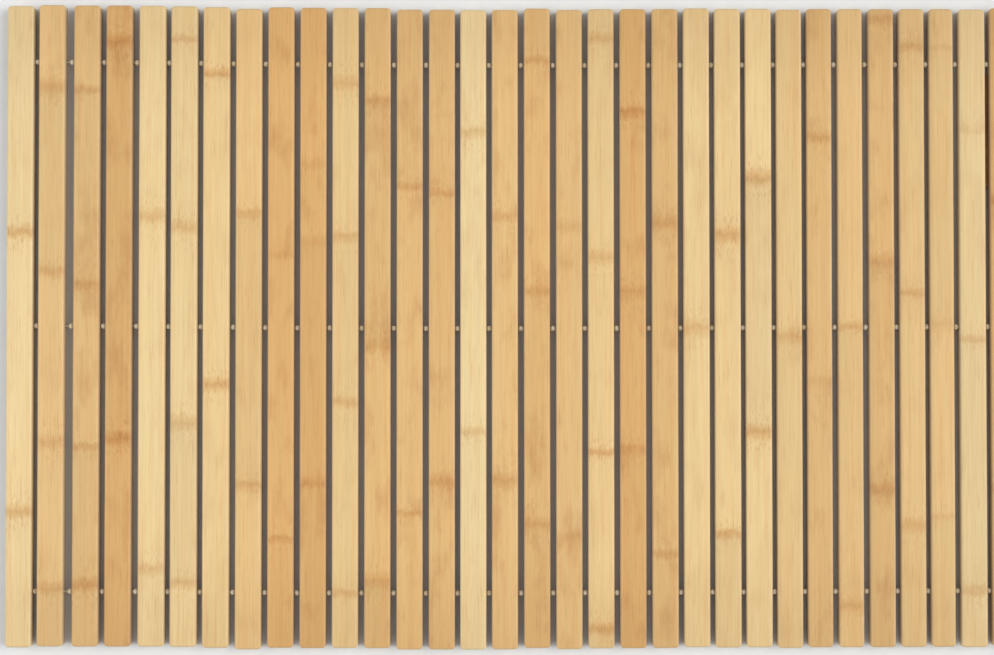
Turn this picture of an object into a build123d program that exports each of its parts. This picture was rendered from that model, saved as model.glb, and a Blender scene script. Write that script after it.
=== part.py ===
from build123d import *
import os

# Roll-up bamboo bath mat (duckboard), in millimetres.
# X runs across the slats, Y along them and Z up. The underside lies on Z = 0, and the origin is
# the middle of the underside.

# ---- driving dimensions ----
SLAT_COUNT = 32
SLAT_LENGTH = 499.5
SLAT_WIDTH = 20.6
SLAT_THICKNESS = 12.0
SLAT_EDGE_RADIUS = 2.2        # along the sides and across the ends, top and bottom
SLAT_CORNER_RADIUS = 2.8      # the corners seen from above
GAP = 4.5                     # clear space between two slats

# Slats and gaps that differ from the usual size: the strips are split and strung by hand.
ODD_WIDTHS = {
    5: 21.0, 6: 21.0, 7: 21.0,
    25: 20.1, 26: 19.7, 27: 19.6, 28: 19.9, 29: 19.8, 30: 18.9,
}
ODD_GAPS = {
    1: 3.9, 2: 6.6, 4: 5.1, 5: 3.9, 6: 4.1, 14: 3.9, 15: 4.1, 18: 4.3, 19: 4.4,
    21: 4.1, 22: 3.8, 23: 3.6, 24: 3.7, 25: 3.8, 26: 4.6, 27: 4.8, 28: 4.2, 29: 3.9, 31: 3.8,
}

ROWS = {"front": -207.0, "middle": -0.5, "back": 206.0}   # the three strings, from mid-slat
# Each string bends a little across the mat: the offset towards +Y at these slats.
ROW_BEND = {1: 1.5, 5: 1.1, 9: 0.0, 14: -0.6, 20: -0.4, 26: 0.3, 32: 0.8}
# Slats whose ends stand off the bend of the rows, because their holes aren't quite central.
ODD_ENDS = {
    1: -0.3, 2: 0.5, 3: 0.4, 4: 0.5, 5: 0.5, 6: 0.4, 8: -1.0, 9: 0.5, 10: 0.3, 11: 0.4, 12: 0.4,
    13: -0.6, 14: -0.5, 15: -0.7, 16: -0.6, 17: 0.4, 18: -0.6, 22: 0.5, 25: -0.7, 26: -0.3,
    27: -0.4, 28: -0.5, 29: -0.5, 30: -0.5, 31: -0.9,
}

STRING_DIAMETER = 1.6
HOLE_DIAMETER = 2.8           # through each slat, for the string
MOUTH_CHAMFER = 0.45          # at both ends of that hole

BEAD_DIAMETER = 4.4
BEAD_HOLE = 2.0
BEAD_SEAT = 2.15              # from a bead's centre to the side of the slat that it has slid against

KNOT_DIAMETER = 4.6
KNOT_LENGTH = 3.2
KNOT_ROUNDING = 1.2
KNOT_SEAT_DIAMETER = 5.6      # counterbore in the outer side of each end slat
KNOT_SEAT_DEPTH = 4.2

LABEL_LENGTH = 88.0           # blank strip on the inner side of the last slat
LABEL_HEIGHT = 4.2
LABEL_THICKNESS = 2.4
LABEL_ROUNDING = 0.5
LABEL_LIFT = 1.2              # above the underside
LABEL_FROM_BACK_END = 52.0    # from the slat's back end to the label

# ---- worked out from those ----
SLATS = range(1, SLAT_COUNT + 1)
GAPS = range(1, SLAT_COUNT)
STRING_HEIGHT = SLAT_THICKNESS / 2
CUT = 1.0                     # how far a cutting tool runs past what it cuts


def width(slat):
    return ODD_WIDTHS.get(slat, SLAT_WIDTH)


def gap_width(gap):
    """The clear space between a slat and the next one, numbered as the first of the two."""
    return ODD_GAPS.get(gap, GAP)


def row_bend(place):
    """How far the strings lie towards +Y at a slat, or at a gap as its first slat plus a half."""
    bends = list(ROW_BEND.items())
    for (near, low), (far, high) in zip(bends, bends[1:]):
        if place <= far:
            return low + (high - low) * (place - near) / (far - near)


def lay_out():
    """The left side of each slat and the bead's centre in each gap, along X, about the middle."""
    sides, beads = {}, {}
    x = 0.0
    for slat in SLATS:
        sides[slat] = x
        x += width(slat)
        if slat < SLAT_COUNT:
            space = gap_width(slat)
            beads[slat] = x + max(space / 2, space - BEAD_SEAT)
            x += space
    return {k: v - x / 2 for k, v in sides.items()}, {k: v - x / 2 for k, v in beads.items()}


SLAT_SIDE, BEAD_X = lay_out()
MAT_WIDTH = SLAT_SIDE[SLAT_COUNT] + width(SLAT_COUNT) - SLAT_SIDE[1]
SLAT_OFFSET = {slat: row_bend(slat) + ODD_ENDS.get(slat, 0.0) for slat in SLATS}
MID_OFFSET = (max(SLAT_OFFSET.values()) + min(SLAT_OFFSET.values())) / 2


def along_x(diameter, length):
    """A rod along X, from its end at the origin."""
    return Rot(0, 90, 0) * Cylinder(diameter / 2, length, align=(Align.CENTER, Align.CENTER, Align.MIN))


def row_points(place, x):
    """The centres of the three strings at an X, which lies at that slat or half slat."""
    return [Pos(x, y + row_bend(place) - MID_OFFSET, STRING_HEIGHT) for y in ROWS.values()]


def hole_tool(slat):
    """One string hole through a slat, with an eased mouth at each side or a knot's seat."""
    length = width(slat)
    wide = HOLE_DIAMETER / 2 + MOUTH_CHAMFER
    mouth = Cone(wide, wide - MOUTH_CHAMFER, MOUTH_CHAMFER, align=(Align.CENTER, Align.CENTER, Align.MIN))
    seat = along_x(KNOT_SEAT_DIAMETER, KNOT_SEAT_DEPTH + CUT)
    tool = Pos(-CUT, 0, 0) * along_x(HOLE_DIAMETER, length + 2 * CUT)
    tool += Pos(-CUT, 0, 0) * seat if slat == 1 else Rot(0, 90, 0) * mouth
    if slat == SLAT_COUNT:
        return tool + Pos(length - KNOT_SEAT_DEPTH, 0, 0) * seat
    return tool + Pos(length, 0, 0) * Rot(0, -90, 0) * mouth


def make_slat(slat):
    blank = Box(width(slat), SLAT_LENGTH, SLAT_THICKNESS, align=(Align.MIN, Align.CENTER, Align.MIN))
    blank = fillet(blank.edges().filter_by(Axis.Z), SLAT_CORNER_RADIUS)
    faces = blank.faces().sort_by(Axis.Z)
    blank = fillet(faces[0].edges() + faces[-1].edges(), SLAT_EDGE_RADIUS)
    blank = Pos(SLAT_SIDE[slat], SLAT_OFFSET[slat] - MID_OFFSET, 0) * blank
    tool = hole_tool(slat)
    for place in row_points(slat, SLAT_SIDE[slat]):
        blank -= place * tool
    return blank


def make_beads(gaps):
    """The spacer beads of some gaps, three to a gap."""
    bead = Sphere(BEAD_DIAMETER / 2) - Pos(-BEAD_DIAMETER, 0, 0) * along_x(BEAD_HOLE, 2 * BEAD_DIAMETER)
    return [place * bead for gap in gaps for place in row_points(gap + 0.5, BEAD_X[gap])]


def make_string(y):
    """One string from knot to knot, in straight runs between the slats where its row bends."""
    ends = {
        1: SLAT_SIDE[1] + KNOT_SEAT_DEPTH,
        SLAT_COUNT: SLAT_SIDE[SLAT_COUNT] + width(SLAT_COUNT) - KNOT_SEAT_DEPTH,
    }
    points = []
    for slat, offset in ROW_BEND.items():
        x = ends.get(slat, SLAT_SIDE[slat] + width(slat) / 2)
        points.append((x, y + offset - MID_OFFSET, STRING_HEIGHT))
    path = Polyline(*points)
    start = Plane(origin=path @ 0, z_dir=path % 0)
    return sweep(start * Circle(STRING_DIAMETER / 2), path=path, transition=Transition.RIGHT)


def make_knots(slat):
    """The knots that hold the strings at an end slat, seated in its outer side."""
    knot = fillet(along_x(KNOT_DIAMETER, KNOT_LENGTH).edges().filter_by(GeomType.CIRCLE), KNOT_ROUNDING)
    depth = KNOT_SEAT_DEPTH - KNOT_LENGTH
    x = SLAT_SIDE[1] + depth if slat == 1 else SLAT_SIDE[slat] + width(slat) - depth - KNOT_LENGTH
    return [place * knot for place in row_points(slat, x)]


def make_label():
    """A plain folded strip on the side of the last slat that faces its neighbour."""
    strip = Box(LABEL_THICKNESS, LABEL_LENGTH, LABEL_HEIGHT, align=(Align.MAX, Align.MAX, Align.MIN))
    outer = strip.edges().filter_by(Axis.Y).sort_by(Axis.X)[:2]
    strip = fillet(outer, LABEL_ROUNDING)
    back_end = SLAT_OFFSET[SLAT_COUNT] - MID_OFFSET + SLAT_LENGTH / 2
    return Pos(SLAT_SIDE[SLAT_COUNT], back_end - LABEL_FROM_BACK_END, LABEL_LIFT) * strip


def make_nodes():
    """Every node's name with its solids."""
    nodes = {f"slat_{slat:02d}": [make_slat(slat)] for slat in SLATS}
    for slat in range(2, SLAT_COUNT + 1, 2):
        nodes[f"beads_{slat:02d}"] = make_beads([gap for gap in (slat - 1, slat) if gap in GAPS])
    for row, y in ROWS.items():
        nodes[f"string_{row}"] = [make_string(y)]
    nodes["knots_left"] = make_knots(1)
    nodes["knots_right"] = make_knots(SLAT_COUNT)
    nodes["side_label"] = [make_label()]
    return nodes


def main():
    os.makedirs("parts", exist_ok=True)
    for name, solids in make_nodes().items():
        shape = solids[0] if len(solids) == 1 else Compound(children=solids)
        shape.label = name
        export_step(shape, f"parts/{name}.step")
    print(f"{SLAT_COUNT} slats, {MAT_WIDTH:.1f} mm across")


main()
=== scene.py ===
import math
import random

import bmesh
import bpy
from mathutils import Matrix, Vector, noise


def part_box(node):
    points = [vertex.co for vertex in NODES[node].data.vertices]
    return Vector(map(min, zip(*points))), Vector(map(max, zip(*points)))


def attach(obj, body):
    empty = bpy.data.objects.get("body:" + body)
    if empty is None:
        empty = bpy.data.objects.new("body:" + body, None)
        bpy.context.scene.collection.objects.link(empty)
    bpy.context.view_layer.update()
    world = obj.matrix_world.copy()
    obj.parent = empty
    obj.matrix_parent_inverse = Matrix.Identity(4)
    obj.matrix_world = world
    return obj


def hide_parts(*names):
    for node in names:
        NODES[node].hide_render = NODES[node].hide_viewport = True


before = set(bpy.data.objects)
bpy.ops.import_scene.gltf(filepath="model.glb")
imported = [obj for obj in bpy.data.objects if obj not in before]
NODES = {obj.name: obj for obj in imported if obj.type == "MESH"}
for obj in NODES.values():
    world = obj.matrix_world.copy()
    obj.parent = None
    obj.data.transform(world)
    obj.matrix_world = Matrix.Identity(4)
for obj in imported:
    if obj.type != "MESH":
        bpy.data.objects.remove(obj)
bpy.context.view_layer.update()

MM = 0.001

# ---- sizes of the details that the frame doesn't state, in metres ----
EDGE_RADIUS = 2.2 * MM          # a slat's long edges
CORNER_RADIUS = 2.8 * MM        # its corners seen from above
END_EASE = 2.2 * MM             # its end edges, top and bottom
HOLE_RADIUS = 1.4 * MM
MOUTH_RADIUS = 1.85 * MM
SEAT_RADIUS = 2.8 * MM          # the counterbore that holds a knot
SEAT_DEPTH = 4.2 * MM
STRING_RADIUS = 0.8 * MM
BEAD_RADIUS = 2.2 * MM
BEAD_HOLE_RADIUS = 1.0 * MM
KNOT_REACH = 0.5 * MM           # a third of the knot's reach from the string
KNOT_SWAY = 0.72 * MM
KNOT_DEPTH = 3.0 * MM
KNOT_CORD_RADIUS = 0.68 * MM
KNOT_STEPS = 120
TAIL = 0.5 * MM                 # a cut end past the knot
STITCH_PITCH = 3.6 * MM
STITCH_LENGTH = 2.5 * MM
FLOOR_Z = -0.1 * MM             # just under the mat, so that the two don't coincide
FLOOR_REACH = 4.0
CAMERA_DISTANCE = 1.5
CAMERA_TARGET = Vector((-0.01265, -0.0005, 0.0))
CAMERA_TURN = (1.26, -0.67, -0.02)    # about X, Y and Z, in degrees, from straight down
LENS = 69.12                    # mm
WALL_LIGHT = 0.95
CEILING_LIGHT = 0.25

# ---- bamboo: how pale each slat is, from amber, 0, to pale, 1; its brightness; and where its
# growth rings are, in mm from its back end ----
SLAT_LOOKS = {
    1: (0.93, 1.00, (177, 394)),
    2: (0.50, 1.00, (64, 208, 341, 454)),
    3: (0.41, 0.98, (66, 219, 344, 451)),
    4: (0.09, 0.97, (28, 338)),
    5: (0.91, 1.00, (165, 439)),
    6: (0.86, 1.01, (26, 173, 325, 450)),
    7: (0.75, 1.01, (52, 295)),
    8: (0.50, 1.01, (161, 373)),
    9: (0.07, 1.00, (194, 415)),
    10: (0.05, 1.00, (122, 183, 371)),
    11: (0.68, 1.01, (59, 180, 308, 457)),
    12: (0.30, 1.01, (73, 264, 447)),
    13: (0.32, 1.01, (139, 394)),
    14: (0.27, 1.00, (144, 369)),
    15: (1.00, 1.00, (97, 330)),
    16: (0.41, 1.02, (162, 368)),
    17: (0.25, 1.01, (41, 221, 403)),
    18: (0.43, 1.01, (171, 413)),
    19: (0.68, 1.01, (23, 195, 347, 484)),
    20: (0.07, 1.00, (81, 222, 345)),
    21: (0.32, 0.99, (168, 426)),
    22: (0.80, 1.00, (251,)),
    23: (0.77, 1.00, (178, 411)),
    24: (0.82, 1.00, (133, 332)),
    25: (0.64, 1.00, (257,)),
    26: (0.34, 0.98, (102, 292)),
    27: (0.48, 0.99, (249, 467)),
    28: (0.30, 0.96, (9, 198, 376)),
    29: (0.55, 0.95, (30, 223, 405)),
    30: (0.52, 0.95, (30, 249, 398)),
    31: (0.90, 0.97, (95, 259, 455)),
    32: (0.05, 0.97, (151, 376)),
}
BOLD_RINGS = {
    1: (177, 394), 3: (451,), 4: (28, 338), 7: (52, 295),
    19: (347, 484), 20: (81,), 23: (178, 411), 24: (133, 332),
}
FAINT_RINGS = {9: (194,), 10: (122, 183), 18: (171, 413), 26: (292,), 30: (30, 249, 398), 31: (95,)}
SLATS = sorted(SLAT_LOOKS)
RING_WAVE = 0.5 * MM            # a growth ring wanders this far as it crosses the slat
RING_WAVE_LENGTH = 17 * MM
RING_HEART = 2.8 * MM           # its darker middle reaches this far each way
RING_FRAY = 9 * MM              # and its band is ragged by this much along the fibres
BOLD, PLAIN, FAINT = 1.3, 0.9, 0.5    # how strongly a ring shows
END_SHADE_REACH = 90 * MM               # painted shade: the slats' ends are painted a little darker over this reach from each end


def linear(*srgb):
    """An sRGB colour, 0 to 255, as linear red, green, blue and alpha."""
    parts = [c / 255 for c in srgb]
    return tuple(c / 12.92 if c <= 0.04045 else ((c + 0.055) / 1.055) ** 2.4 for c in parts) + (1.0,)


def blend_colour(a, b, t):
    return tuple(x + (y - x) * t for x, y in zip(a, b))


def scaled(colour, k):
    return tuple(c * k for c in colour[:3]) + (1.0,)


AMBER = (226, 179, 114)
PALE = (242, 217, 163)
SHADED_SIDE_COLOUR = (178, 166, 144)      # painted shade: a slat's side faces are painted duller and darker than its top

# Noise in the bamboo, in features per metre across, along and through a slat.
BANDS = (230, 2.6, 230)
TINTS = (330, 7, 330)
FIBRES = (1700, 16, 1700)
BUNDLES = (1150, 40, 1150)
PATCHES = (60, 24, 60)
FRAYING = (210, 90, 210)
FLECKS = (900, 210, 900)
VESSELS = 1100.0                # the dots in its end grain, per metre


# ---- shader building ----
class Shader:
    """A material's node tree, with short ways to add the nodes used here."""

    def __init__(self, name):
        self.material = bpy.data.materials.new(name)
        self.material.use_nodes = True
        self.tree = self.material.node_tree
        self.principled = self.tree.nodes["Principled BSDF"]

    def add(self, kind, **settings):
        node = self.tree.nodes.new(kind)
        for key, value in settings.items():
            setattr(node, key, value)
        return node

    def put(self, value, socket):
        if isinstance(value, bpy.types.NodeSocket):
            self.tree.links.new(value, socket)
        else:
            socket.default_value = value

    def math(self, operation, a, b=0.0, c=0.0):
        node = self.add("ShaderNodeMath", operation=operation)
        for value, socket in zip((a, b, c), node.inputs):
            self.put(value, socket)
        return node.outputs[0]

    def place(self):
        """Where a point is in the row frame at rest, as X, Y and Z."""
        node = self.add("ShaderNodeSeparateXYZ")
        coordinates = self.add("ShaderNodeTexCoord")
        self.put(coordinates.outputs["Object"], node.inputs[0])
        return coordinates.outputs["Object"], node.outputs

    def noise(self, vector, scale, offset=(0, 0, 0), detail=2.0, roughness=0.5):
        """Noise with its own scale along each axis, in features per metre."""
        mapping = self.add("ShaderNodeMapping")
        self.put(vector, mapping.inputs["Vector"])
        mapping.inputs["Scale"].default_value = scale
        mapping.inputs["Location"].default_value = offset
        node = self.add("ShaderNodeTexNoise")
        self.put(mapping.outputs[0], node.inputs["Vector"])
        node.inputs["Scale"].default_value = 1.0
        node.inputs["Detail"].default_value = detail
        node.inputs["Roughness"].default_value = roughness
        return node.outputs[0]

    def remap(self, value, low, high, to_low=0.0, to_high=1.0, smooth=False):
        node = self.add("ShaderNodeMapRange")
        if smooth:
            node.interpolation_type = "SMOOTHSTEP"
        for v, socket in zip((value, low, high, to_low, to_high), node.inputs):
            self.put(v, socket)
        return node.outputs[0]

    def ramp(self, value, stops):
        node = self.add("ShaderNodeValToRGB")
        elements = node.color_ramp.elements
        while len(elements) < len(stops):
            elements.new(0.5)
        for element, (position, colour) in zip(elements, stops):
            element.position = position
            element.color = colour
        self.put(value, node.inputs[0])
        return node.outputs[0]

    def mix(self, factor, a, b, kind="MIX"):
        node = self.add("ShaderNodeMix", data_type="RGBA", blend_type=kind)
        self.put(factor, node.inputs[0])
        self.put(a, node.inputs[6])
        self.put(b, node.inputs[7])
        return node.outputs[2]

    def bump(self, height, distance, strength):
        node = self.add("ShaderNodeBump")
        node.inputs["Strength"].default_value = strength
        node.inputs["Distance"].default_value = distance
        self.put(height, node.inputs["Height"])
        return node.outputs[0]

    def finish(self, colour, roughness, normal, coat=0.0):
        self.put(colour, self.principled.inputs["Base Color"])
        self.put(roughness, self.principled.inputs["Roughness"])
        self.put(normal, self.principled.inputs["Normal"])
        self.principled.inputs["Coat Weight"].default_value = coat
        self.principled.inputs["Coat Roughness"].default_value = 0.35
        self.principled.inputs["Specular IOR Level"].default_value = 0.35
        return self.material


def bamboo(name, slat, rings):
    """Sanded bamboo: long fibres, darker bundles, growth rings at the given Y, and speckled end grain."""
    pale, shade, _ = SLAT_LOOKS[slat]
    luck = random.Random(1000 + slat)
    offset = tuple(luck.uniform(-40, 40) for _ in range(3))
    base = scaled(linear(*blend_colour(AMBER, PALE, pale)), shade)
    low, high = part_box(f"slat_{slat:02d}")
    s = Shader(name)
    place, (x, y, z) = s.place()

    # tone along the slat, stepping a little at each ring
    along = s.remap(y, low.y, high.y)
    stops = []
    start = 0.0
    for end in [(r - low.y) / (high.y - low.y) for r, _ in rings] + [1.0]:
        k = luck.uniform(0.95, 1.04)
        stops.append((start, scaled(base, k)))
        stops.append((end - 0.004, scaled(base, k * luck.uniform(0.96, 1.01))))
        start = end + 0.004
    colour = s.ramp(along, stops)

    # broad soft bands, fine fibres and short dark bundles along the grain
    bands = s.noise(place, BANDS, offset, detail=2.0)
    fibres = s.noise(place, FIBRES, offset, detail=3.0, roughness=0.65)
    bundles = s.noise(place, BUNDLES, offset, detail=1.0)
    patches = s.noise(place, PATCHES, offset, detail=3.0, roughness=0.6)
    colour = s.mix(s.remap(bands, 0.35, 0.7, 0.0, 0.22), colour, scaled(base, 0.80), "MIX")
    colour = s.mix(s.remap(fibres, 0.3, 0.75, 0.0, 0.26), colour, linear(196, 146, 84), "MULTIPLY")
    bundle_mask = s.remap(bundles, 0.60, 0.74, 0.0, 0.17, smooth=True)
    colour = s.mix(bundle_mask, colour, linear(176, 122, 66), "MULTIPLY")
    tint = s.noise(place, TINTS, tuple(-k for k in offset), detail=2.0)
    colour = s.mix(s.remap(tint, 0.45, 0.72, 0.0, 0.26), colour, linear(255, 222, 188), "MULTIPLY")
    mottle = 0.34 if pale < 0.45 else 0.14
    colour = s.mix(s.remap(patches, 0.50, 0.75, 0.0, mottle), colour, linear(196, 140, 80), "MULTIPLY")

    # growth rings: ragged amber bands across the slat, with a darker heart and flecks on both sides
    turn = s.math("MULTIPLY_ADD", x, 2 * math.pi / RING_WAVE_LENGTH, float(slat))
    wandering = s.math("MULTIPLY_ADD", s.math("SINE", turn), RING_WAVE, y)
    frayed = s.noise(place, FRAYING, offset, detail=4.0, roughness=0.7)
    wandering = s.math("MULTIPLY_ADD", s.math("SUBTRACT", frayed, 0.5), RING_FRAY, wandering)
    band, heart, around = 0.0, 0.0, 0.0
    for ring, strength in rings:
        wide = luck.uniform(4.5, 10.0) * MM
        away = s.math("ABSOLUTE", s.math("SUBTRACT", wandering, ring))
        heart_at = ring - luck.uniform(-1.5, 1.5) * MM
        off_heart = s.math("ABSOLUTE", s.math("SUBTRACT", wandering, heart_at))
        this_band = s.remap(away, 0.15 * wide, wide, 0.34 * strength, 0.0, smooth=True)
        this_heart = s.remap(off_heart, 0.0, RING_HEART, 0.10 * strength, 0.0, smooth=True)
        this_around = s.remap(away, wide, 3 * wide, 0.9 * strength, 0.0, smooth=True)
        band = s.math("MAXIMUM", band, this_band)
        heart = s.math("MAXIMUM", heart, this_heart)
        around = s.math("MAXIMUM", around, this_around)
    flecks = s.noise(place, FLECKS, offset, detail=2.0, roughness=0.6)
    fleck = s.math("MULTIPLY", around, s.remap(flecks, 0.50, 0.70, 0.0, 0.26, smooth=True))
    colour = s.mix(band, colour, linear(222, 182, 128), "MULTIPLY")
    colour = s.mix(heart, colour, linear(190, 144, 96), "MULTIPLY")
    colour = s.mix(fleck, colour, linear(182, 134, 88), "MULTIPLY")

    # end grain: dark vessel dots on a drier, duller ground
    half = (high.y - low.y) / 2
    from_middle = s.math("ABSOLUTE", s.math("SUBTRACT", y, (high.y + low.y) / 2))
    end = s.remap(from_middle, half - 1.5 * MM, half - 0.35 * MM, smooth=True)
    dots = s.add("ShaderNodeTexVoronoi")
    s.put(place, dots.inputs["Vector"])
    dots.inputs["Scale"].default_value = VESSELS
    dot = s.remap(dots.outputs["Distance"], 0.18, 0.32, 0.75, 0.0, smooth=True)
    grain = s.mix(dot, scaled(base, 0.80), linear(112, 74, 40))
    colour = s.mix(end, colour, grain)

    # painted shade: duller, darker sides, and ends a little darker
    across = s.math("ABSOLUTE", s.math("SUBTRACT", x, (high.x + low.x) / 2))
    half_width = (high.x - low.x) / 2
    # painted shade on the side faces and their rounded edges
    side = s.remap(across, half_width - 0.9 * MM, half_width - 0.2 * MM, 0.0, 0.5, smooth=True)
    colour = s.mix(side, colour, linear(*SHADED_SIDE_COLOUR))
    # painted shade: the ends darkened, standing in for less light reaching them than the middle
    painted_end_shade = s.remap(from_middle, half - END_SHADE_REACH, half, 0.0, 0.16, smooth=True)
    colour = s.mix(painted_end_shade, colour, linear(176, 150, 120), "MULTIPLY")

    roughness = s.remap(fibres, 0.3, 0.7, 0.40, 0.56)
    height = s.math("MULTIPLY_ADD", bundles, 0.5, fibres)
    normal = s.bump(height, 0.10 * MM, 0.35)
    return s.finish(colour, roughness, normal, coat=0.12)


def turned_wood(name):
    """Pale turned wood, each bead a little lighter or darker."""
    s = Shader(name)
    place, _ = s.place()
    beads = s.noise(place, (45, 9, 45), detail=0.0)
    grain = s.noise(place, (500, 2600, 2600), detail=3.0, roughness=0.6)
    colour = s.ramp(beads, [(0.3, linear(238, 224, 196)), (0.7, linear(252, 245, 230))])
    colour = s.mix(s.remap(grain, 0.35, 0.75, 0.0, 0.35), colour, linear(190, 156, 112), "MULTIPLY")
    return s.finish(colour, s.remap(grain, 0.3, 0.7, 0.5, 0.7), s.bump(grain, 0.05 * MM, 0.4))


def twisted_cord(name):
    """Undyed cotton: fine fibres over the twisted strands."""
    s = Shader(name)
    place, _ = s.place()
    fuzz = s.noise(place, (5200, 5200, 5200), detail=3.0, roughness=0.7)
    dirt = s.noise(place, (140, 140, 140), detail=2.0)
    colour = s.ramp(fuzz, [(0.25, linear(160, 146, 118)), (0.7, linear(226, 216, 192))])
    colour = s.mix(s.remap(dirt, 0.4, 0.7, 0.0, 0.4), colour, linear(196, 178, 146), "MULTIPLY")
    return s.finish(colour, s.remap(fuzz, 0.2, 0.8, 0.75, 0.95), s.bump(fuzz, 0.12 * MM, 0.7))


def brown_leather(name):
    """Brown grained leather, darker in its creases."""
    s = Shader(name)
    place, _ = s.place()
    cells = s.add("ShaderNodeTexVoronoi", feature="DISTANCE_TO_EDGE")
    s.put(place, cells.inputs["Vector"])
    cells.inputs["Scale"].default_value = 1500.0
    crease = s.remap(cells.outputs["Distance"], 0.0, 0.12)
    tone = s.noise(place, (90, 60, 90), detail=3.0)
    colour = s.ramp(tone, [(0.3, linear(158, 114, 68)), (0.7, linear(188, 144, 94))])
    colour = s.mix(s.remap(crease, 0.0, 1.0, 0.5, 0.0), colour, linear(150, 112, 76), "MULTIPLY")
    return s.finish(colour, s.remap(tone, 0.3, 0.7, 0.5, 0.68), s.bump(crease, 0.08 * MM, 0.5))


def waxed_thread(name):
    """The label's brown sewing thread."""
    s = Shader(name)
    place, _ = s.place()
    fuzz = s.noise(place, (6000, 6000, 6000), detail=2.0)
    colour = s.ramp(fuzz, [(0.3, linear(92, 60, 36)), (0.7, linear(140, 98, 62))])
    return s.finish(colour, s.remap(fuzz, 0.3, 0.7, 0.6, 0.8), s.bump(fuzz, 0.05 * MM, 0.5))


def plain_floor(name):
    """A pale matt floor, almost even."""
    s = Shader(name)
    place, _ = s.place()
    speck = s.noise(place, (60, 60, 60), detail=4.0)
    colour = s.ramp(speck, [(0.3, linear(230, 231, 232)), (0.7, linear(234, 234, 235))])
    return s.finish(colour, s.remap(speck, 0.3, 0.7, 0.72, 0.8), s.bump(speck, 0.005 * MM, 0.05))


# ---- mesh building ----
def new_object(name, mesh, *materials):
    piece = bpy.data.objects.new(name, mesh)
    bpy.context.scene.collection.objects.link(piece)
    for material in materials:
        mesh.materials.append(material)
    return piece


def mesh_of(name, points, faces, smooth_angle=40):
    mesh = bpy.data.meshes.new(name)
    mesh.from_pydata(points, [], faces)
    mesh.validate()
    mesh.update()
    mesh.shade_smooth()
    mesh.set_sharp_from_angle(angle=math.radians(smooth_angle))
    return mesh


def loft(rings, closed=False):
    """Points and faces of a skin over equal rings of points, with an n-gon at each open end."""
    points = [p for ring in rings for p in ring]
    n = len(rings[0])
    faces = []
    spans = len(rings) if closed else len(rings) - 1
    for i in range(spans):
        a, b = i * n, (i + 1) % len(rings) * n
        for k in range(n):
            m = (k + 1) % n
            faces.append((a + k, a + m, b + m, b + k))
    if not closed:
        faces.append(tuple(reversed(range(n))))
        faces.append(tuple(range((len(rings) - 1) * n, len(rings) * n)))
    return points, faces


def merge(parts):
    """Several (points, faces) as one."""
    points, faces = [], []
    for some, these in parts:
        first = len(points)
        points += some
        faces += [tuple(first + i for i in face) for face in these]
    return points, faces


def islands(node):
    """The (lowest, highest) corners of each separate solid in a CAD node, from left to right."""
    mesh = bmesh.new()
    mesh.from_mesh(NODES[node].data)
    bmesh.ops.remove_doubles(mesh, verts=mesh.verts, dist=0.001 * MM)
    left = set(mesh.verts)
    found = []
    while left:
        reached = {left.pop()}
        edge = list(reached)
        while edge:
            near = {e.other_vert(v) for v in edge for e in v.link_edges} & left
            left -= near
            reached |= near
            edge = list(near)
        where = [v.co for v in reached]
        low = Vector(min(c[k] for c in where) for k in range(3))
        high = Vector(max(c[k] for c in where) for k in range(3))
        found.append((low, high))
    mesh.free()
    return sorted(found, key=lambda b: (round(b[0].x, 3), b[0].y))


# ---- the slats ----
CORNER_STEPS = 6
FLAT_STEPS = 6
SIDE_STEPS = 3


def rounded_section(width, height, radius):
    """A rounded rectangle about the origin, as (x, z), always with the same number of points."""
    corners = [(1, -1, -90), (1, 1, 0), (-1, 1, 90), (-1, -1, 180)]
    arcs = []
    for sx, sz, start in corners:
        cx, cz = sx * (width / 2 - radius), sz * (height / 2 - radius)
        turns = [math.radians(start + 90 * k / CORNER_STEPS) for k in range(CORNER_STEPS + 1)]
        arcs.append([(cx + radius * math.cos(t), cz + radius * math.sin(t)) for t in turns])
    points = []
    for i, arc in enumerate(arcs):
        points += arc
        (ax, az), (bx, bz) = arc[-1], arcs[(i + 1) % 4][0]
        steps = SIDE_STEPS if i % 2 == 0 else FLAT_STEPS
        points += [(ax + (bx - ax) * k / steps, az + (bz - az) * k / steps) for k in range(1, steps)]
    return points


def rounding(distance, radius):
    """How far a rounded corner has drawn in at a distance from the end."""
    if distance >= radius:
        return 0.0
    return radius - math.sqrt(radius ** 2 - (radius - distance) ** 2)


def slat_stations(length, rings):
    """Distances along a slat: close together at its ends and at its growth rings."""
    ease = [CORNER_RADIUS * (1 - math.cos(math.radians(a))) for a in range(0, 91, 15)]
    stations = ease + [length - d for d in ease]
    spacing = 6 * MM
    count = int(length / spacing)
    near = [r + k * 0.35 * MM for r in rings for k in range(-4, 5)]
    inside = [length * k / count for k in range(1, count)]
    inside = [d for d in inside if min(d, length - d) > 2 * CORNER_RADIUS]
    inside = [d for d in inside if all(abs(d - r) > 2.2 * MM for r in rings)]
    return sorted(stations + near + inside)


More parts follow.
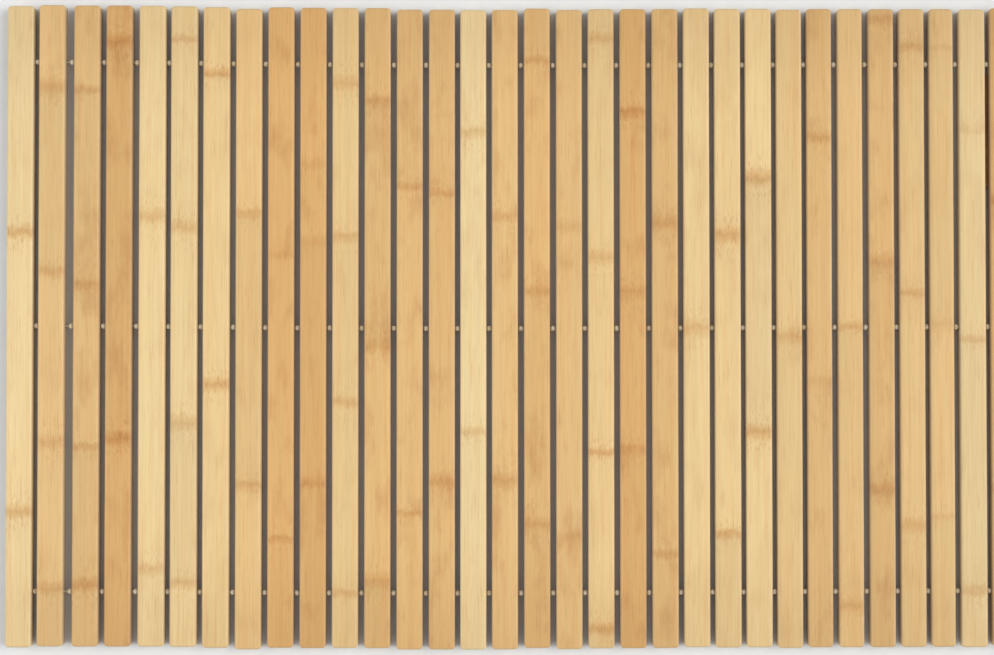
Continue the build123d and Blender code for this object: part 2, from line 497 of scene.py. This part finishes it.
def slat_mesh(slat, rings):
    """A slat's skin inside its CAD box, with worn edges and a little relief at its growth rings."""
    low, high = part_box(f"slat_{slat:02d}")
    length, width, height = high.y - low.y, high.x - low.x, high.z - low.z
    middle = Vector(((low.x + high.x) / 2, 0, (low.z + high.z) / 2))
    local = [r - low.y for r in rings]
    skin = []
    for d in slat_stations(length, local):
        end = min(d, length - d)
        drawn = rounding(end, CORNER_RADIUS)
        eased = rounding(end, END_EASE)
        wear = noise.noise(Vector((d * 18, slat * 7.3, 0))) * 0.5 + 0.5
        bow = noise.noise(Vector((d * 6, slat * 3.1, 5))) * 0.10 * MM
        ring = sum(math.exp(-(((d - r) / (0.45 * MM)) ** 2)) for r in local)
        swell = sum(math.exp(-(((d - r) / (4.0 * MM)) ** 2)) for r in local)
        relief = (0.03 * ring - 0.03 * swell) * MM
        section_width = width - 2 * drawn - 0.16 * MM * wear - 2 * relief
        section_height = height - 2 * eased - 2 * relief
        radius = min(EDGE_RADIUS + 0.35 * MM * (wear - 0.5), (section_height - MM) / 2)
        radius = max(0.5 * MM, radius - eased * 0.4)
        ring_points = []
        for x, z in rounded_section(section_width, section_height, radius):
            world_x = middle.x + x + bow
            wave = RING_WAVE * math.sin(2 * math.pi / RING_WAVE_LENGTH * world_x + slat)
            follow = min(1.0, swell) if end > 3 * CORNER_RADIUS else 0.0
            ring_points.append((world_x, low.y + d - wave * follow, middle.z + z))
        skin.append(ring_points)
    return mesh_of(f"slat_{slat:02d}", *loft(skin))


def rod(start, sections, y, z, steps=24):
    """A rod along X about (y, z): sections are (x from start, radius)."""
    rings = []
    for x, radius in sections:
        turns = [2 * math.pi * k / steps for k in range(steps)]
        rings.append([(start + x, y + radius * math.cos(t), z + radius * math.sin(t)) for t in turns])
    return loft(rings)


def drill(piece, slat, rows, height):
    """Cuts the string holes through a slat, with eased mouths, or a knot's seat in an end slat."""
    low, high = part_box(f"slat_{slat:02d}")
    across = high.x - low.x
    past = 0.5 * MM
    ease = MOUTH_RADIUS - HOLE_RADIUS
    left = [(-past, MOUTH_RADIUS + past), (ease, HOLE_RADIUS)]
    right = [(across - ease, HOLE_RADIUS), (across + past, MOUTH_RADIUS + past)]
    if slat == SLATS[0]:
        left = [(-past, SEAT_RADIUS), (SEAT_DEPTH, SEAT_RADIUS), (SEAT_DEPTH, HOLE_RADIUS)]
    if slat == SLATS[-1]:
        inner = across - SEAT_DEPTH
        right = [(inner, HOLE_RADIUS), (inner, SEAT_RADIUS), (across + past, SEAT_RADIUS)]
    tools = [rod(low.x, left + right, y, height) for y in rows]
    tool = new_object("drill", mesh_of("drill", *merge(tools)))
    cut = piece.modifiers.new("string_holes", "BOOLEAN")
    cut.operation = "DIFFERENCE"
    cut.solver = "EXACT"
    cut.object = tool
    view_layer = bpy.context.view_layer
    view_layer.update()
    drilled = bpy.data.meshes.new_from_object(piece.evaluated_get(bpy.context.evaluated_depsgraph_get()))
    piece.modifiers.clear()
    piece.data = drilled
    bpy.data.objects.remove(tool)
    drilled.set_sharp_from_angle(angle=math.radians(40))


# ---- beads, string and knots ----
def bead(centre, luck, sides=28):
    """A turned bead about X with an eased string hole, its wall a closed ring section."""
    half = math.sqrt(BEAD_RADIUS ** 2 - BEAD_HOLE_RADIUS ** 2)
    size = luck.uniform(0.985, 1.0)
    profile = []
    edge = math.asin(BEAD_HOLE_RADIUS * 1.12 / BEAD_RADIUS)
    steps = 16
    for k in range(steps + 1):
        a = edge + (math.pi - 2 * edge) * k / steps
        profile.append((-BEAD_RADIUS * math.cos(a) * size, BEAD_RADIUS * math.sin(a) * size))
    for x in (0.94, 0.8, 0.0, -0.8, -0.94):
        lip = BEAD_HOLE_RADIUS * (1.02 if abs(x) > 0.9 else 0.96)
        profile.append((half * x, lip))
    spin = luck.uniform(0, 2 * math.pi)
    rings = []
    for k in range(sides):
        t = spin + 2 * math.pi * k / sides
        rings.append([centre + Vector((x, r * math.cos(t), r * math.sin(t))) for x, r in profile])
    return loft(rings, closed=True)


def cord(path, radius, strands=3, turns_per_metre=230, sides=8):
    """Twisted strands that follow a path of points, each strand a closed tube."""
    parts = []
    strand_radius = radius / (1 + 2 / math.sqrt(3)) * 1.12
    lay = radius - strand_radius
    lengths = [0.0]
    for a, b in zip(path, path[1:]):
        lengths.append(lengths[-1] + (b - a).length)
    side = None
    frames = []
    for i, p in enumerate(path):
        forward = (path[min(i + 1, len(path) - 1)] - path[max(i - 1, 0)]).normalized()
        if side is None:
            side = forward.orthogonal().normalized()
        side = (side - forward * side.dot(forward)).normalized()
        frames.append((p, side.copy(), forward.cross(side)))
    for strand in range(strands):
        rings = []
        for (p, u, v), s in zip(frames, lengths):
            t = 2 * math.pi * (s * turns_per_metre + strand / strands)
            centre = p + (u * math.cos(t) + v * math.sin(t)) * lay
            turns = [2 * math.pi * k / sides for k in range(sides)]
            rings.append([centre + (u * math.cos(a) + v * math.sin(a)) * strand_radius for a in turns])
        parts.append(loft(rings))
    return merge(parts)


def straight(a, b, spacing=0.55 * MM):
    count = max(2, round((b - a).length / spacing))
    return [a.lerp(b, k / count) for k in range(count + 1)]


def knot_path(inner, outward):
    """A tight overhand knot's centre line, along X from its inner end."""
    path = []
    for k in range(KNOT_STEPS + 1):
        t = 2 * math.pi * k / KNOT_STEPS
        along = KNOT_DEPTH / 2 - KNOT_SWAY * math.sin(3 * t)
        y = KNOT_REACH * (math.sin(t) + 2 * math.sin(2 * t))
        z = KNOT_REACH * (math.cos(t) - 2 * math.cos(2 * t))
        path.append(inner + Vector((outward * along, y, z)))
    return path


def build_slat(slat, rows, height):
    """A slat with its growth rings, drilled for the strings at the rows' Y."""
    low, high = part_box(f"slat_{slat:02d}")
    rings = []
    for d in sorted(SLAT_LOOKS[slat][2], reverse=True):
        bold, faint = d in BOLD_RINGS.get(slat, ()), d in FAINT_RINGS.get(slat, ())
        rings.append((high.y - d * MM, BOLD if bold else FAINT if faint else PLAIN))
    name = f"bamboo_slat_{slat:02d}"
    piece = new_object(name, slat_mesh(slat, [y for y, _ in rings]), bamboo(name, slat, rings))
    drill(piece, slat, rows, height)
    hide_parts(f"slat_{slat:02d}")
    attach(piece, f"link_{slat:02d}")


def build_beads(slat, material):
    """The beads in the gaps on both sides of an even slat."""
    node = f"beads_{slat:02d}"
    luck = random.Random(slat)
    parts = [bead((low + high) / 2, luck) for low, high in islands(node)]
    piece = new_object(f"turned_{node}", mesh_of(node, *merge(parts)), material)
    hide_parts(node)
    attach(piece, f"link_{slat:02d}")


def build_strings(slat, starts, ends, material):
    """The three strings' runs through one slat, from one fold to the next."""
    parts = [cord(straight(a, b), STRING_RADIUS) for a, b in zip(starts, ends)]
    mesh = mesh_of("string_run", *merge(parts), smooth_angle=80)
    piece = new_object(f"string_run_{slat:02d}", mesh, material)
    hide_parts("string_front", "string_middle", "string_back")
    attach(piece, f"link_{slat:02d}")


def build_knots(node, body, outward, material):
    """The knots in one end slat's seats, each with its short cut end."""
    parts = []
    for low, high in islands(node):
        middle = (low + high) / 2
        inner = Vector((low.x if outward > 0 else high.x, middle.y, middle.z))
        parts.append(cord(knot_path(inner, outward), KNOT_CORD_RADIUS, sides=10))
        tip = inner + Vector((outward * (KNOT_DEPTH + TAIL), 0.5 * MM, 0.7 * MM))
        parts.append(cord(straight(inner + Vector((outward * MM, 0, 0)), tip, 0.3 * MM), KNOT_CORD_RADIUS))
    piece = new_object(f"tied_{node}", mesh_of(node, *merge(parts), smooth_angle=80), material)
    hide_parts(node)
    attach(piece, body)


def build_label(leather, thread):
    """A strip folded over on itself along its top edge, with a row of stitches."""
    low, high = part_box("side_label")
    thick, tall, length = high.x - low.x, high.z - low.z, high.y - low.y
    profile = []
    fold = thick / 2
    for k in range(13):
        t = math.pi * k / 12
        profile.append((fold + fold * math.cos(t), tall - fold + fold * math.sin(t)))
    profile += [(0.0, tall * 0.3), (0.12 * MM, 0.15 * MM), (0.3 * MM, 0.0)]
    profile += [(fold - 0.15 * MM, 0.0), (fold, 0.7 * MM), (fold + 0.15 * MM, 0.0)]
    profile += [(thick - 0.3 * MM, 0.0), (thick - 0.02 * MM, 0.15 * MM), (thick, tall * 0.3)]
    rings = []
    steps = 120
    for k in range(steps + 1):
        d = length * k / steps
        end = min(d, length - d)
        shrink = 1 - 0.10 * max(0.0, 1 - end / MM) ** 2
        wave = noise.noise(Vector((d * 90, 3.0, 0))) * 0.07 * MM
        top = 1 + noise.noise(Vector((d * 60, 9.0, 0))) * 0.02 - 0.02
        ring = []
        for x, z in profile:
            free = 1 - x / thick
            out = (x - fold) * shrink + fold + wave * free
            ring.append((low.x + max(0.0, out), low.y + d, low.z + z * top * (0.5 + 0.5 * shrink)))
        rings.append(ring)
    strip = new_object("folded_label", mesh_of("folded_label", *loft(rings)), leather)
    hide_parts("side_label")
    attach(strip, f"link_{SLATS[-1]:02d}")

    parts = []
    count = round((length - 4 * MM) / STITCH_PITCH)
    for k in range(count):
        y = low.y + 2 * MM + (k + 0.5) * (length - 4 * MM) / count
        path = []
        for i in range(9):
            t = i / 8
            bulge = 0.06 * MM - 0.4 * MM * (2 * t - 1) ** 6
            path.append(Vector((low.x - bulge, y + (t - 0.5) * STITCH_LENGTH, low.z + tall * 0.34)))
        parts.append(cord(path, 0.26 * MM, strands=2, turns_per_metre=700, sides=6))
    seam = new_object("label_stitches", mesh_of("label_stitches", *merge(parts), smooth_angle=80), thread)
    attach(seam, f"link_{SLATS[-1]:02d}")


# ---- put together ----
string_material = twisted_cord("twisted_cord")
bead_material = turned_wood("turned_wood")

# the three strings' points on each fold line, from the beads there
crossings = {}
for node_slat in SLATS[1::2]:
    low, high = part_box(f"slat_{node_slat:02d}")
    for a, b in islands(f"beads_{node_slat:02d}"):
        centre = (a + b) / 2
        fold = node_slat - 1 if centre.x < low.x else node_slat
        crossings.setdefault(fold, []).append(centre)
for points in crossings.values():
    points.sort(key=lambda p: p.y)
left_knots = sorted(islands("knots_left"), key=lambda b: b[0].y)
right_knots = sorted(islands("knots_right"), key=lambda b: b[0].y)
crossings[0] = [Vector((b.x, (a.y + b.y) / 2, (a.z + b.z) / 2)) for a, b in left_knots]
crossings[SLATS[-1]] = [Vector((a.x, (a.y + b.y) / 2, (a.z + b.z) / 2)) for a, b in right_knots]
string_height = crossings[0][0].z

for slat in SLATS:
    before, after = crossings[slat - 1], crossings[slat]
    rows = [(a.y + b.y) / 2 for a, b in zip(before, after)]
    build_slat(slat, rows, string_height)
    build_strings(slat, before, after, string_material)
    if slat % 2 == 0:
        build_beads(slat, bead_material)
build_knots("knots_left", f"link_{SLATS[0]:02d}", -1, string_material)
build_knots("knots_right", f"link_{SLATS[-1]:02d}", 1, string_material)
build_label(brown_leather("brown_leather"), waxed_thread("waxed_thread"))

# ---- floor, light and camera ----
floor_mesh = bpy.data.meshes.new("floor")
corners = [(FLOOR_REACH * i, FLOOR_REACH * j, FLOOR_Z) for i, j in ((-1, -1), (1, -1), (1, 1), (-1, 1))]
floor_mesh.from_pydata(corners, [], [(0, 1, 2, 3)])
floor = new_object("floor", floor_mesh, plain_floor("plain_floor"))


def soft_sun(name, towards, strength, softness, colour):
    light = bpy.data.lights.new(name, "SUN")
    light.energy = strength
    light.angle = math.radians(softness)
    light.color = colour
    lamp = bpy.data.objects.new(name, light)
    lamp.rotation_euler = Vector(towards).to_track_quat("-Z", "Y").to_euler()
    bpy.context.scene.collection.objects.link(lamp)


soft_sun("key", (-1.0, -0.1, -0.9), 1.84, 45.0, (1.0, 0.965, 0.92))
soft_sun("fill", (1.0, 0.1, -0.85), 1.27, 50.0, (1.0, 0.97, 0.935))

# a studio with pale walls and a dim ceiling
world = bpy.data.worlds.new("studio")
world.use_nodes = True
sky = world.node_tree
direction = sky.nodes.new("ShaderNodeTexCoord")
parts = sky.nodes.new("ShaderNodeSeparateXYZ")
height = sky.nodes.new("ShaderNodeMapRange")
sky.links.new(direction.outputs["Generated"], parts.inputs[0])
sky.links.new(parts.outputs["Z"], height.inputs["Value"])
height.inputs["From Min"].default_value = 0.1
height.inputs["From Max"].default_value = 0.9
height.inputs["To Min"].default_value = WALL_LIGHT
height.inputs["To Max"].default_value = CEILING_LIGHT
sky.links.new(height.outputs[0], sky.nodes["Background"].inputs["Strength"])
sky.nodes["Background"].inputs["Color"].default_value = (0.84, 0.93, 1.0, 1.0)
bpy.context.scene.world = world

camera = bpy.data.objects.new("camera", bpy.data.cameras.new("camera"))
camera.data.sensor_width = 36.0
camera.data.lens = LENS
camera.data.clip_start = 0.01
turns = [Matrix.Rotation(math.radians(a), 3, axis) for a, axis in zip(CAMERA_TURN, "XYZ")]
turn = turns[2] @ turns[1] @ turns[0]
camera.location = CAMERA_TARGET + turn @ Vector((0, 0, CAMERA_DISTANCE))
camera.rotation_euler = turn.to_euler()
bpy.context.scene.collection.objects.link(camera)
bpy.context.scene.camera = camera
bpy.context.scene.view_settings.view_transform = "Standard"
